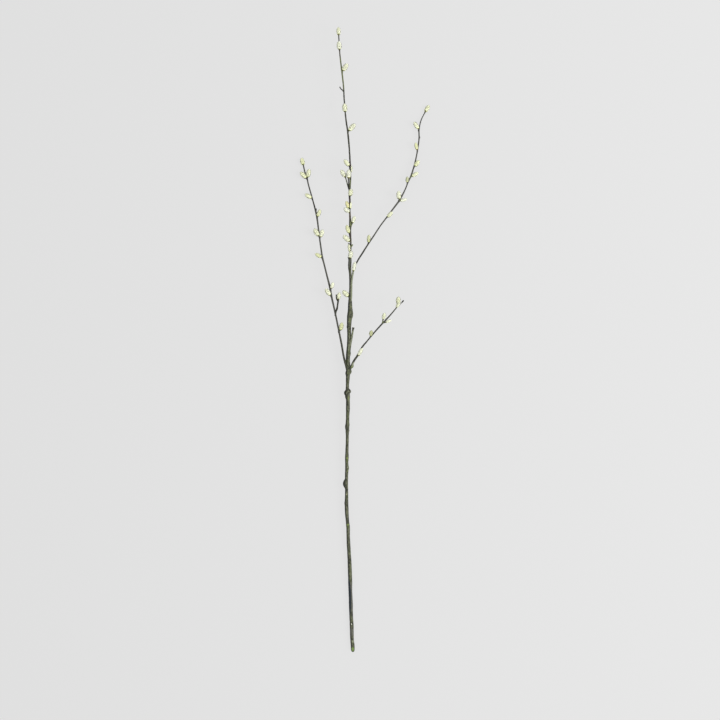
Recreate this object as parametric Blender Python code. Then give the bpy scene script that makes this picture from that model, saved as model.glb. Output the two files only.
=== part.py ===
# Willow twig with its spring catkins, as cut: a stem with a leader, three side branches, a cut stub,
# a twiglet, spurs, knobs, bud scales and catkins. All of it grew as one piece, so it is one solid.
#
# It lies on the surface z = 0 with its tip towards +Y, and rests on three small flats: under the foot
# of the stem, and under the catkins that end the left branch and the upper right branch.
#
# Every size is in millimetres. Heights up the twig, and all routes, are counted from the foot.

import math

import bmesh
import bpy
from mathutils import Matrix, Vector

NODE = "willow_twig"
MM = 0.001

# The middle of the twig's box, seen from the foot: the world's origin lies under it.
TWIG_MIDDLE = (19.1, 498.4)

# Rings of a tube are never further apart than this.
LONGEST_STEP = 16.0

# The caps of a tube are welded to its wall within this distance, in metres.
WELD = 0.00001

# Bevel resolution of a shoot: 2 gives eight sides and 1 gives six.
STEM_ROUNDNESS = 2
BRANCH_ROUNDNESS = 1
SPUR_ROUNDNESS = 1

# The slanted cut that severed the stem: it faces up and back, at this angle to the stem.
FOOT_CUT_ANGLE = 30.0
FOOT_CUT_HEIGHT = 1.1

# The outline of a catkin in its bud scale, from its tip down: shares of its length and of its width.
CATKIN_SIDES = 8
CATKIN_TIP = (1.00, 0.00)
CATKIN_FUR = [(0.92, 0.33), (0.70, 0.48), (0.40, 0.51)]
FUR_FOOT = (0.17, 0.40)
SCALE_RIM = (0.14, 0.43)
SCALE_BELLY = (0.04, 0.31)

# The fur's tufts stand out and lie back by turns, and the bud scale is higher on its outer side.
TUFT_RELIEF = 0.06
SCALE_SLANT = 0.05

# The root of a bud scale goes down inside its shoot: beside the shoot's middle, and this share of the
# way down again. At a shoot's end it goes this far in.
SCALE_ROOT_WIDTH = 1.7
SIDE_ROOT_SETBACK = 0.5
END_ROOT_DEPTH = 2.5

KNOB_SIDES = 6
KNOB_RINGS = 4

BARK_COLOUR = (0.060, 0.062, 0.043, 1.0)
BARK_ROUGHNESS = 0.8

# How high the middle of each shoot lies over the surface: the place up the twig, and the height there.
LIFT = {
    "stem": [(-1, 2.7), (451, 11.5), (629, 16.2), (800, 20.0), (987, 22.8)],
    "left_branch": [(447, 11.5), (500, 12.5), (560, 12.4), (640, 9.9), (720, 6.5), (781, 3.2)],
    "upper_branch": [(555, 15.0), (613, 17.4), (640, 16.5), (700, 12.5), (780, 7.4), (865, 3.05)],
    "lower_branch": [(446, 11.5), (481, 19.2), (515, 26.0), (563, 34.2)],
}

# Each row of a shoot is x and y of its middle, and its diameter there. It bends and swells at its nodes.
SHOOTS = {
    "stem": [
        (-0.3, -1, 5.9),
        (-0.6, 8, 6.2),
        (-1.4, 17, 5.7),
        (-1.9, 30, 6.1),
        (-2.2, 42, 6.3),
        (-2.8, 54, 5.9),
        (-3.6, 80, 6.2),
        (-4.3, 98, 5.9),
        (-4.5, 111, 6.5),
        (-5.1, 131, 6.4),
        (-5.5, 144, 6.2),
        (-6.3, 157, 5.8),
        (-7.1, 170, 5.8),
        (-7.7, 188, 5.6),
        (-7.9, 200, 6.0),
        (-8.8, 208, 5.4),
        (-9.9, 221, 6.0),
        (-10.4, 239, 5.9),
        (-10.2, 251, 5.2),
        (-10.4, 279, 5.0),
        (-9.9, 293, 5.6),
        (-10.1, 303, 5.1),
        (-9.8, 311, 5.8),
        (-9.5, 323, 5.1),
        (-9.1, 347, 5.1),
        (-9.0, 360, 6.2),
        (-8.6, 376, 5.3),
        (-8.2, 388, 6.3),
        (-8.1, 402, 6.2),
        (-8.7, 415, 6.2),
        (-8.9, 427, 5.2),
        (-8.3, 438, 6.1),
        (-7.9, 447, 6.9),
        (-7.7, 456, 7.0),
        (-8.2, 466, 6.6),
        (-7.6, 478, 6.9),
        (-6.6, 490, 6.7),
        (-6.1, 504, 6.4),
        (-6.3, 519, 6.6),
        (-6.0, 529, 7.6),
        (-5.3, 538, 8.2),
        (-4.7, 547, 7.3),
        (-4.6, 556, 6.8),
        (-4.4, 565, 5.3),
        (-4.3, 576, 4.1),
        (-4.2, 596, 3.8),
        (-4.5, 606, 4.1),
        (-5.2, 614, 4.9),
        (-5.2, 621, 5.4),
        (-4.8, 627, 5.0),
        (-4.4, 630, 4.2),
        (-4.0, 633, 3.0),
        (-3.7, 640, 2.5),
        (-3.5, 657, 2.4),
        (-4.5, 667, 3.8),
        (-4.6, 675, 3.4),
        (-4.3, 683, 4.2),
        (-4.6, 691, 3.2),
        (-5.0, 703, 2.5),
        (-5.5, 713, 2.0),
        (-5.0, 722, 3.0),
        (-5.6, 730, 2.8),
        (-5.3, 739, 3.4),
        (-4.5, 750, 3.0),
        (-4.4, 775, 3.1),
        (-4.8, 786, 2.5),
        (-5.7, 802, 2.4),
        (-8.1, 829, 2.7),
        (-11.7, 855, 2.3),
        (-13.8, 880, 2.2),
        (-15.4, 907, 2.2),
        (-18.2, 931, 2.4),
        (-20.9, 955, 1.9),
        (-22.8, 985.2, 1.7),
    ],
    "left_branch": [
        (-8.2, 447, 3.8),
        (-10.2, 455, 3.7),
        (-13.5, 467, 3.4),
        (-15.1, 474, 3.2),
        (-18.4, 493, 3.0),
        (-20.8, 505, 2.9),
        (-30.1, 550, 2.8),
        (-34.8, 571, 3.0),
        (-36.1, 579, 3.1),
        (-41.9, 603, 2.7),
        (-46.1, 620, 2.6),
        (-49.2, 632, 2.8),
        (-50.8, 643, 2.6),
        (-55.1, 675, 2.4),
        (-56.8, 689, 2.6),
        (-58.8, 701, 2.6),
        (-66.4, 730, 2.1),
        (-71.9, 750, 2.1),
        (-73.6, 758, 2.2),
        (-77.5, 770, 2.1),
        (-79.7, 780, 1.9),
    ],
    "upper_branch": [
        (-4.4, 555, 2.9),
        (-3.0, 566, 2.9),
        (-2.4, 580, 2.8),
        (-1.9, 593, 2.7),
        (-0.3, 605, 2.7),
        (1.4, 613, 2.5),
        (7.1, 625, 2.4),
        (16.4, 640, 2.6),
        (21.4, 648, 2.4),
        (33.4, 666, 2.2),
        (42.5, 680, 2.1),
        (51.4, 692, 2.2),
        (62.7, 707, 2.5),
        (74.3, 723, 2.8),
        (84.3, 742, 2.1),
        (87.8, 751, 2.0),
        (92.4, 761, 2.4),
        (97.6, 777, 2.3),
        (103.5, 804, 2.1),
        (105.9, 824, 2.1),
        (105.8, 835, 2.0),
        (106.7, 842, 1.8),
        (108.9, 851, 1.7),
        (115.8, 865.4, 1.6),
    ],
    "lower_branch": [
        (-7.0, 446, 3.6),
        (-4.0, 454, 3.5),
        (-1.4, 460, 3.4),
        (2.3, 467, 3.3),
        (5.7, 472, 3.2),
        (11.0, 481, 3.0),
        (14.9, 488, 2.6),
        (23.1, 498, 2.2),
        (37.5, 515, 2.3),
        (47.5, 526, 2.5),
        (61.5, 541, 2.0),
        (69.0, 550, 1.7),
        (76.4, 557, 1.3),
        (78.6, 559.6, 2.1),
        (79.7, 560.9, 2.4),
        (81.0, 562.2, 1.2),
    ],
}

# A branch stub that was cut off short, and the spurs and stalks that stand off the shoots:
# x, y and z of the middle, and the diameter there.
SPURS = {
    "stub": [
        (-5.6, 480, 11.8, 3.0),
        (-4.4, 490, 13.4, 3.1),
        (-2.6, 500, 15.0, 3.1),
        (-0.9, 510, 16.6, 3.0),
        (0.0, 516, 17.6, 3.1),
        (0.6, 519, 18.2, 4.0),
    ],
    "twiglet": [
        (-28.3, 538, 12.2, 2.8),
        (-27.2, 545, 13.0, 2.7),
        (-25.6, 549, 13.8, 3.2),
        (-24.9, 553, 14.6, 2.6),
        (-24.2, 558, 15.4, 2.7),
        (-23.5, 564, 16.2, 3.0),
    ],
    "twiglet_spur": [
        (-23.8, 561, 16.0, 2.2),
        (-26.1, 565, 16.8, 2.3),
        (-26.5, 568, 17.6, 2.0),
        (-26.6, 572, 18.2, 2.1),
    ],
    "bare_spur": [
        (-14.5, 895, 21.5, 1.9),
        (-17.2, 898, 22.2, 1.8),
        (-19.6, 900, 22.8, 1.6),
        (-21.3, 903, 23.2, 1.8),
    ],
    "cluster_left": [
        (-5.3, 736, 18.6, 2.0),
        (-7.9, 744, 19.4, 1.8),
        (-10.1, 752, 20.2, 1.6),
        (-12.0, 759, 21.0, 1.8),
    ],
    "cluster_front": [
        (-5.1, 738, 18.7, 2.0),
        (-6.8, 744, 20.4, 1.8),
        (-7.3, 751, 21.6, 1.8),
        (-7.3, 757, 22.6, 2.0),
    ],
    "thorn_left": [
        (-3.5, 651, 16.6, 1.4),
        (-5.9, 653, 17.0, 1.3),
        (-8.1, 654, 17.3, 1.0),
    ],
    "thorn_right": [
        (-3.3, 648, 16.6, 2.1),
        (-1.7, 650, 17.2, 2.2),
        (-0.3, 652, 17.6, 1.7),
    ],
    "shoulder_spur": [
        (-5.2, 624, 16.1, 2.2),
        (-6.9, 629, 16.4, 1.8),
        (-8.1, 632, 16.6, 1.3),
    ],
    "left_spur": [
        (-59.3, 703, 7.2, 1.7),
        (-59.0, 707, 8.0, 1.5),
        (-58.5, 710, 8.6, 1.4),
    ],
    "forked_stalk_up": [
        (46.6, 525, 27.8, 2.0),
        (47.4, 529, 29.4, 1.8),
        (47.9, 532, 30.5, 1.9),
    ],
    "forked_stalk_side": [
        (46.8, 526, 28.0, 2.0),
        (49.9, 526.6, 28.6, 1.7),
        (52.2, 527.2, 29.0, 1.5),
    ],
    "leader_stalk": [
        (-4.2, 679, 17.3, 2.6),
        (-2.5, 683, 17.9, 2.3),
        (-1.0, 686, 18.3, 1.9),
    ],
}

# Knobs, dormant buds and leaf scars: height, turn round the shoot, length, width and how far it stands out.
# Turn 0 is the side towards +X, 90 the top, 180 the side towards -X.
KNOBS = {
    "stem": [
        (269, 178, 15.0, 5.5, 3.4),
        (310, 85, 6.0, 3.8, 0.7),
        (354, 10, 4.0, 2.8, 0.7),
        (360, 175, 8.0, 3.8, 0.7),
        (415, 176, 8.0, 3.6, 2.6),
        (417, 4, 8.0, 3.6, 2.5),
        (446, 178, 8.0, 4.2, 0.9),
        (449, 0, 10.0, 4.4, 1.6),
        (520, 180, 5.0, 3.0, 0.7),
        (539, 8, 12.0, 4.4, 1.3),
    ],
    "left_branch": [
        (512, 170, 5.0, 2.2, 0.6),
    ],
    "upper_branch": [
        (707, 90, 5.0, 2.6, 0.6),
        (824, 5, 5.0, 2.2, 0.7),
        (835, 175, 4.0, 2.2, 0.6),
    ],
    "lower_branch": [
        (458, -5, 7.0, 3.2, 1.9),
        (526, 95, 5.0, 2.6, 0.7),
    ],
}

# Catkins on the sides of a shoot: height of the foot, turn round the shoot, lean away from it,
# how far the foot stands off the bark, length and width.
SIDE_CATKINS = {
    "stem": [
        (569, 180, 47, 0.6, 12.6, 7.8),
        (630, 90, 14, 0.2, 11.8, 7.4),
        (640, 205, 8, 0.3, 12.8, 5.0),
        (657, 163, 44, 1.2, 13.4, 7.7),
        (670, 140, 22, 0.5, 13.4, 6.4),
        (704, 140, 60, 0.2, 11.2, 7.4),
        (709, -40, 6, 0.2, 11.4, 4.4),
        (710, 200, 16, 0.8, 11.4, 5.9),
        (729, 55, 17, 0.6, 11.2, 7.3),
        (767, -68, 6, 0.3, 11.6, 5.4),
        (777, 168, 37, 0.4, 12.6, 6.8),
        (833, 12, 51, 1.2, 14.2, 7.7),
        (863, 90, 14, 0.2, 13.2, 7.9),
        (928.5, 15, 44, 0.7, 13.2, 7.8),
        (962, 92, 14, 0.2, 13.0, 7.8),
    ],
    "left_branch": [
        (514.5, 15, 24, 1.6, 12.2, 6.9),
        (571, 155, 29, 0.2, 13.0, 7.3),
        (581.5, 30, 38, 0.5, 10.4, 5.8),
        (632, 160, 50, 0.2, 11.4, 6.0),
        (664, 20, 32, 0.2, 12.4, 7.2),
        (666, 155, 26, 0.2, 13.4, 7.6),
        (697, 25, 35, 0.2, 11.8, 6.2),
        (727, 155, 44, 0.3, 12.0, 6.6),
        (759, 160, 27, 0.3, 13.4, 7.0),
        (760, 35, 33, 1.0, 12.9, 7.2),
    ],
    "upper_branch": [
        (609, 90, 14, 0.2, 15.4, 6.2),
        (654.5, 168, 28, 0.3, 12.0, 5.4),
        (696, 65, 16, 0.3, 11.6, 6.2),
        (724, 165, 38, 0.2, 12.8, 7.4),
        (723, 12, 49, 0.1, 11.2, 5.2),
        (751, 200, 18, 0.3, 9.4, 5.6),
        (762, 15, 39, 0.5, 11.8, 6.0),
        (778, 12, 19, 0.3, 11.2, 6.9),
        (804, 150, 25, 0.2, 11.4, 5.4),
        (838, 162, 46, 0.2, 12.8, 6.6),
    ],
    "lower_branch": [
        (475, 46, -4, 0.2, 13.6, 5.9),
        (505, 160, 28, 0.3, 9.0, 5.6),
        (551, 118, 30, 0.4, 9.6, 5.4),
        (554, 155, 54, 1.0, 13.8, 7.2),
    ],
}

# Catkins that end a shoot: lean across the shoot towards +X, length and width.
END_CATKINS = {
    "stem": (2, 12.6, 6.6),
    "left_branch": (-3, 11.6, 6.8),
    "upper_branch": (5, 12.2, 6.6),
    "twiglet": (3, 11.4, 5.9),
    "cluster_left": (-18, 13.4, 7.0),
    "cluster_front": (4, 13.8, 7.6),
    "forked_stalk_up": (6, 10.8, 6.0),
    "forked_stalk_side": (-8, 9.6, 4.4),
    "leader_stalk": (-8, 11.4, 6.0),
}


def remove_everything():
    for thing in list(bpy.data.objects):
        bpy.data.objects.remove(thing, do_unlink=True)


def new_collection(name):
    collection = bpy.data.collections.new(name)
    bpy.context.scene.collection.children.link(collection)
    return collection


def catmull_rom(before, start, end, after, share):
    """A point between start and end on the smooth line through all four."""
    square = share * share
    cube = square * share
    return 0.5 * (
        2.0 * start
        + (end - before) * share
        + (2.0 * before - 5.0 * start + 4.0 * end - after) * square
        + (3.0 * start - before - 3.0 * end + after) * cube
    )


def lifted(name, rows):
    """The rows of a shoot with its height over the surface put in as their third number."""
    heights = LIFT[name]
    knots = []
    for x, y, diameter in rows:
        for (low, low_lift), (high, high_lift) in zip(heights, heights[1:]):
            if high >= y:
                break
        share = (y - low) / (high - low)
        knots.append((x, y, low_lift + (high_lift - low_lift) * share, diameter))
    return knots


def smooth_route(rows):
    """The rows of a shoot as vectors of x, y, z and diameter, with smooth points in its long steps."""
    knots = [Vector(row) for row in rows]
    route = []
    for index in range(len(knots) - 1):
        start, end = knots[index], knots[index + 1]
        before = knots[max(index - 1, 0)]
        after = knots[min(index + 2, len(knots) - 1)]
        steps = max(1, math.ceil((end.xyz - start.xyz).length / LONGEST_STEP))
        for step in range(steps):
            point = catmull_rom(before, start, end, after, step / steps)
            route.append(point)
    route.append(knots[-1])
    return route


def tube(name, route, roundness, collection):
    """A closed round mesh along a route, made from a curve with filled caps."""
    curve = bpy.data.curves.new(name, "CURVE")
    curve.dimensions = "3D"
    curve.bevel_depth = MM
    curve.bevel_resolution = roundness
    curve.use_fill_caps = True
    spline = curve.splines.new("POLY")
    spline.points.add(len(route) - 1)
    for point, row in zip(spline.points, route):
        point.co = (row.x * MM, row.y * MM, row.z * MM, 1.0)
        point.radius = row.w / 2.0
    line = bpy.data.objects.new(name + "_curve", curve)
    collection.objects.link(line)
    evaluated = line.evaluated_get(bpy.context.evaluated_depsgraph_get())
    mesh = bpy.data.meshes.new_from_object(evaluated)
    bm = bmesh.new()
    bm.from_mesh(mesh)
    bmesh.ops.remove_doubles(bm, verts=bm.verts, dist=WELD)
    bmesh.ops.recalc_face_normals(bm, faces=bm.faces)
    bm.to_mesh(mesh)
    bm.free()
    piece = bpy.data.objects.new(name, mesh)
    piece.matrix_world = line.matrix_world.copy()
    collection.objects.link(piece)
    bpy.data.objects.remove(line, do_unlink=True)
    return piece


def cut_flat(piece, point, facing):
    """Cuts a mesh at a plane, takes away what lies in front of it, and closes the cut with a flat face."""
    bm = bmesh.new()
    bm.from_mesh(piece.data)
    everything = bm.verts[:] + bm.edges[:] + bm.faces[:]
    bmesh.ops.bisect_plane(
        bm, geom=everything, plane_co=point * MM, plane_no=facing, dist=0.000001, clear_outer=True
    )
    rim = [edge for edge in bm.edges if edge.is_boundary]
    bmesh.ops.holes_fill(bm, edges=rim, sides=0)
    bm.to_mesh(piece.data)
    bm.free()


def place_on(route, height):
    """Where a shoot is at a height up the twig: its middle, its direction and its radius."""
    for low, high in zip(route, route[1:]):
        if high.y >= height:
            break
    share = (height - low.y) / (high.y - low.y)
    spot = low.lerp(high, min(max(share, 0.0), 1.0))
    return spot.xyz, (high.xyz - low.xyz).normalized(), spot.w / 2.0


def side_of(direction, turn):
    """The direction square to a shoot, turned round it by some degrees from the side towards +X."""
    right = direction.cross(Vector((0.0, 0.0, 1.0))).normalized()
    top = right.cross(direction).normalized()
    angle = math.radians(turn)
    return right * math.cos(angle) + top * math.sin(angle)


def axes_at(foot, axis, outer):
    """A matrix that puts a shape's foot in place, its Z along an axis and its X towards its outer side."""
    across = axis.cross(outer).normalized()
    outer = across.cross(axis).normalized()
    turned = Matrix((outer, across, axis)).transposed().to_4x4()
    return Matrix.Translation(foot * MM) @ turned


def add_mesh(name, bm, placing, collection):
    bmesh.ops.triangulate(bm, faces=bm.faces)
    mesh = bpy.data.meshes.new(name)
    bm.to_mesh(mesh)
    bm.free()
    mesh.transform(placing)
    piece = bpy.data.objects.new(name, mesh)
    collection.objects.link(piece)


def catkin(name, foot, axis, outer, root, length, width, collection):
    """A furry egg with a soft point, in a slanted cup that is drawn in to a root inside the shoot."""
    placing = axes_at(foot, axis, outer)
    root_centre = placing.inverted() @ (root * MM)
    outline = [CATKIN_TIP] + CATKIN_FUR + [FUR_FOOT, SCALE_RIM, SCALE_BELLY]
    rings = len(outline) + 1
    bm = bmesh.new()
    bmesh.ops.create_uvsphere(bm, u_segments=CATKIN_SIDES, v_segments=rings, radius=1.0)
    for vert in bm.verts:
        ring = round(math.acos(max(-1.0, min(1.0, vert.co.z))) / math.pi * rings)
        turn = math.atan2(vert.co.y, vert.co.x)
        outward, across = math.cos(turn), math.sin(turn)
        if ring >= len(outline):
            half = SCALE_ROOT_WIDTH / 2.0 if ring == len(outline) else 0.0
            vert.co = root_centre + Vector((outward * half, across * half, 0.0)) * MM
            continue
        height, radius = outline[ring]
        if outline[ring] in (FUR_FOOT, SCALE_RIM):
            height += SCALE_SLANT * outward
        elif outline[ring] in CATKIN_FUR:
            side = round(turn / math.tau * CATKIN_SIDES)
            radius *= 1.0 + (TUFT_RELIEF if (ring + side) % 2 else -TUFT_RELIEF)
        vert.co = Vector((outward * radius * width, across * radius * width, height * length)) * MM
    add_mesh(name, bm, placing, collection)


def side_catkin(name, route, row, collection):
    height, turn, lean, off, length, width = row
    middle, direction, radius = place_on(route, height)
    outer = side_of(direction, turn)
    slope = math.radians(lean)
    axis = direction * math.cos(slope) + outer * math.sin(slope)
    foot = middle + outer * (radius + off)
    root = middle - direction * SIDE_ROOT_SETBACK * (radius + off)
    catkin(name, foot, axis, outer, root, length, width, collection)


def end_catkin(name, route, row, collection):
    lean, length, width = row
    middle = route[-1].xyz
    direction = (middle - route[-2].xyz).normalized()
    slope = math.radians(lean)
    axis = (direction * math.cos(slope) + side_of(direction, 0) * math.sin(slope)).normalized()
    root = middle - direction * END_ROOT_DEPTH
    catkin(name, middle, axis, side_of(direction, 90), root, length, width, collection)


def knob(name, route, row, collection):
    """A low pointed swelling that is sunk into the bark."""
    height, turn, length, width, rise = row
    middle, direction, radius = place_on(route, height)
    outer = side_of(direction, turn)
    depth = radius + rise
    bm = bmesh.new()
    bmesh.ops.create_uvsphere(bm, u_segments=KNOB_SIDES, v_segments=KNOB_RINGS, radius=0.5)
    for vert in bm.verts:
        vert.co.x *= depth * MM
        vert.co.y *= width * MM
        vert.co.z *= length * MM
    centre = middle + outer * depth / 2.0
    add_mesh(name, bm, axes_at(centre, direction, outer), collection)


def fuse(base, pieces):
    """One union of a base with every object of a collection, which is emptied afterwards."""
    union = base.modifiers.new("union", "BOOLEAN")
    union.operation = "UNION"
    union.operand_type = "COLLECTION"
    union.collection = pieces
    union.solver = "EXACT"
    evaluated = base.evaluated_get(bpy.context.evaluated_depsgraph_get())
    fused = bpy.data.meshes.new_from_object(evaluated)
    base.modifiers.clear()
    base.data = fused
    for piece in list(pieces.objects):
        bpy.data.objects.remove(piece, do_unlink=True)
    bpy.data.collections.remove(pieces)


def bark_material():
    material = bpy.data.materials.new("bark")
    material.use_nodes = True
    shader = material.node_tree.nodes["Principled BSDF"]
    shader.inputs["Base Color"].default_value = BARK_COLOUR
    shader.inputs["Roughness"].default_value = BARK_ROUGHNESS
    shader.inputs["Metallic"].default_value = 0.0
    return material


def main():
    remove_everything()
    twig_collection = new_collection(NODE)
    pieces = new_collection("pieces_to_fuse")

    routes = {name: smooth_route(lifted(name, rows)) for name, rows in SHOOTS.items()}
    twig = tube(NODE, routes["stem"], STEM_ROUNDNESS, twig_collection)
    slant = math.radians(FOOT_CUT_ANGLE)
    cut_facing = Vector((0.0, -math.sin(slant), math.cos(slant)))
    cut_flat(twig, Vector((0.0, 0.0, FOOT_CUT_HEIGHT)), cut_facing)

    for name in ("left_branch", "upper_branch", "lower_branch"):
        tube(name, routes[name], BRANCH_ROUNDNESS, pieces)
    for name, rows in SPURS.items():
        routes[name] = smooth_route(rows)
        tube(name, routes[name], SPUR_ROUNDNESS, pieces)
    for name, rows in KNOBS.items():
        for number, row in enumerate(rows):
            knob(f"{name}_knob_{number}", routes[name], row, pieces)
    for name, rows in SIDE_CATKINS.items():
        for number, row in enumerate(rows):
            side_catkin(f"{name}_catkin_{number}", routes[name], row, pieces)
    for name, row in END_CATKINS.items():
        end_catkin(f"{name}_end_catkin", routes[name], row, pieces)

    fuse(twig, pieces)
    cut_flat(twig, Vector((0.0, 0.0, 0.0)), Vector((0.0, 0.0, -1.0)))
    twig.location = (-TWIG_MIDDLE[0] * MM, -TWIG_MIDDLE[1] * MM, 0.0)
    twig.data.materials.clear()
    twig.data.materials.append(bark_material())
    twig.data.shade_smooth()


main()
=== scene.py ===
import math

import bpy
import numpy as np
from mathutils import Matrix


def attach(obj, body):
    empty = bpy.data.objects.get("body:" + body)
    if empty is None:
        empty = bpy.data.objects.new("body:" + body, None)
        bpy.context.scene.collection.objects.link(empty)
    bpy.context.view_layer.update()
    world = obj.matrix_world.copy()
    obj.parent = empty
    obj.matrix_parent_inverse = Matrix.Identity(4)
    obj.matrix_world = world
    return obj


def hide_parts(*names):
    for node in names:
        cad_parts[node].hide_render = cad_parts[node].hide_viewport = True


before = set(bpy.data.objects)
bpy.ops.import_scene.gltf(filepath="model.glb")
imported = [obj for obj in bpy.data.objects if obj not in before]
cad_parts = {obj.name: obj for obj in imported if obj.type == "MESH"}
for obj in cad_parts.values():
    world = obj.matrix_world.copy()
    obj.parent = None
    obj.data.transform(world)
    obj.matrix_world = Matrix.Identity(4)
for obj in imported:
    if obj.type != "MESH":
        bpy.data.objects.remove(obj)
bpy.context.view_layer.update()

NODE = "willow_twig"
BODY = "root"
MM = 0.001

# The seeds of the random draws: the first of the shoots' and of the spurs', and the step from each to the
# next. A catkin's starts from a multiple of CATKIN_SEEDS.
SEED = 20
SPUR_SEED = 120
SEED_STEP = 10
CATKIN_SEEDS = 1000
END_CATKIN_SEED = 7

# The world's origin lies under the middle of the twig's box.
TWIG_MIDDLE = (19.1, 498.4)

# The camera looks straight down on the twig.
CAMERA_OVER = (11.2, 467.2, 3212.0)
CAMERA_LENS = 100.0
CAMERA_SENSOR = 36.0

# How high the middle of each shoot lies over the surface: the place up the twig, and the height there.
LIFT = {
    "stem": [(-1, 2.7), (451, 11.5), (629, 16.2), (800, 20.0), (987, 22.8)],
    "left_branch": [(447, 11.5), (500, 12.5), (560, 12.4), (640, 9.9), (720, 6.5), (781, 3.2)],
    "upper_branch": [(555, 15.0), (613, 17.4), (640, 16.5), (700, 12.5), (780, 7.4), (865, 3.05)],
    "lower_branch": [(446, 11.5), (481, 19.2), (515, 26.0), (563, 34.2)],
}

# Each row of a shoot is x and y of its middle, and its diameter there. It bends and swells at its nodes.
SHOOTS = {
    "stem": [
        (-0.3, -1, 5.9), (-0.6, 8, 6.2), (-1.4, 17, 5.7), (-1.9, 30, 6.1), (-2.2, 42, 6.3),
        (-2.8, 54, 5.9), (-3.6, 80, 6.2), (-4.3, 98, 5.9), (-4.5, 111, 6.5), (-5.1, 131, 6.4),
        (-5.5, 144, 6.2), (-6.3, 157, 5.8), (-7.1, 170, 5.8), (-7.7, 188, 5.6), (-7.9, 200, 6),
        (-8.8, 208, 5.4), (-9.9, 221, 6), (-10.4, 239, 5.9), (-10.2, 251, 5.2), (-10.4, 279, 5),
        (-9.9, 293, 5.6), (-10.1, 303, 5.1), (-9.8, 311, 5.8), (-9.5, 323, 5.1), (-9.1, 347, 5.1),
        (-9, 360, 6.2), (-8.6, 376, 5.3), (-8.2, 388, 6.3), (-8.1, 402, 6.2), (-8.7, 415, 6.2),
        (-8.9, 427, 5.2), (-8.3, 438, 6.1), (-7.9, 447, 6.9), (-7.7, 456, 7), (-8.2, 466, 6.6),
        (-7.6, 478, 6.9), (-6.6, 490, 6.7), (-6.1, 504, 6.4), (-6.3, 519, 6.6), (-6, 529, 7.6),
        (-5.3, 538, 8.2), (-4.7, 547, 7.3), (-4.6, 556, 6.8), (-4.4, 565, 5.3), (-4.3, 576, 4.1),
        (-4.2, 596, 3.8), (-4.5, 606, 4.1), (-5.2, 614, 4.9), (-5.2, 621, 5.4), (-4.8, 627, 5),
        (-4.4, 630, 4.2), (-4, 633, 3), (-3.7, 640, 2.5), (-3.5, 657, 2.4), (-4.5, 667, 3.8),
        (-4.6, 675, 3.4), (-4.3, 683, 4.2), (-4.6, 691, 3.2), (-5, 703, 2.5), (-5.5, 713, 2),
        (-5, 722, 3), (-5.6, 730, 2.8), (-5.3, 739, 3.4), (-4.5, 750, 3), (-4.4, 775, 3.1),
        (-4.8, 786, 2.5), (-5.7, 802, 2.4), (-8.1, 829, 2.7), (-11.7, 855, 2.3), (-13.8, 880, 2.2),
        (-15.4, 907, 2.2), (-18.2, 931, 2.4), (-20.9, 955, 1.9), (-22.8, 985.2, 1.7),
    ],
    "left_branch": [
        (-8.2, 447, 3.8), (-10.2, 455, 3.7), (-13.5, 467, 3.4), (-15.1, 474, 3.2), (-18.4, 493, 3),
        (-20.8, 505, 2.9), (-30.1, 550, 2.8), (-34.8, 571, 3), (-36.1, 579, 3.1), (-41.9, 603, 2.7),
        (-46.1, 620, 2.6), (-49.2, 632, 2.8), (-50.8, 643, 2.6), (-55.1, 675, 2.4), (-56.8, 689, 2.6),
        (-58.8, 701, 2.6), (-66.4, 730, 2.1), (-71.9, 750, 2.1), (-73.6, 758, 2.2), (-77.5, 770, 2.1),
        (-79.7, 780, 1.9),
    ],
    "upper_branch": [
        (-4.4, 555, 2.9), (-3, 566, 2.9), (-2.4, 580, 2.8), (-1.9, 593, 2.7), (-0.3, 605, 2.7),
        (1.4, 613, 2.5), (7.1, 625, 2.4), (16.4, 640, 2.6), (21.4, 648, 2.4), (33.4, 666, 2.2),
        (42.5, 680, 2.1), (51.4, 692, 2.2), (62.7, 707, 2.5), (74.3, 723, 2.8), (84.3, 742, 2.1),
        (87.8, 751, 2), (92.4, 761, 2.4), (97.6, 777, 2.3), (103.5, 804, 2.1), (105.9, 824, 2.1),
        (105.8, 835, 2), (106.7, 842, 1.8), (108.9, 851, 1.7), (115.8, 865.4, 1.6),
    ],
    "lower_branch": [
        (-7, 446, 3.6), (-4, 454, 3.5), (-1.4, 460, 3.4), (2.3, 467, 3.3), (5.7, 472, 3.2), (11, 481, 3),
        (14.9, 488, 2.6), (23.1, 498, 2.2), (37.5, 515, 2.3), (47.5, 526, 2.5), (61.5, 541, 2),
        (69, 550, 1.7), (76.4, 557, 1), (78.6, 559.6, 2.1), (79.7, 560.9, 2.4), (81, 562.2, 1.2),
    ],
}

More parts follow.
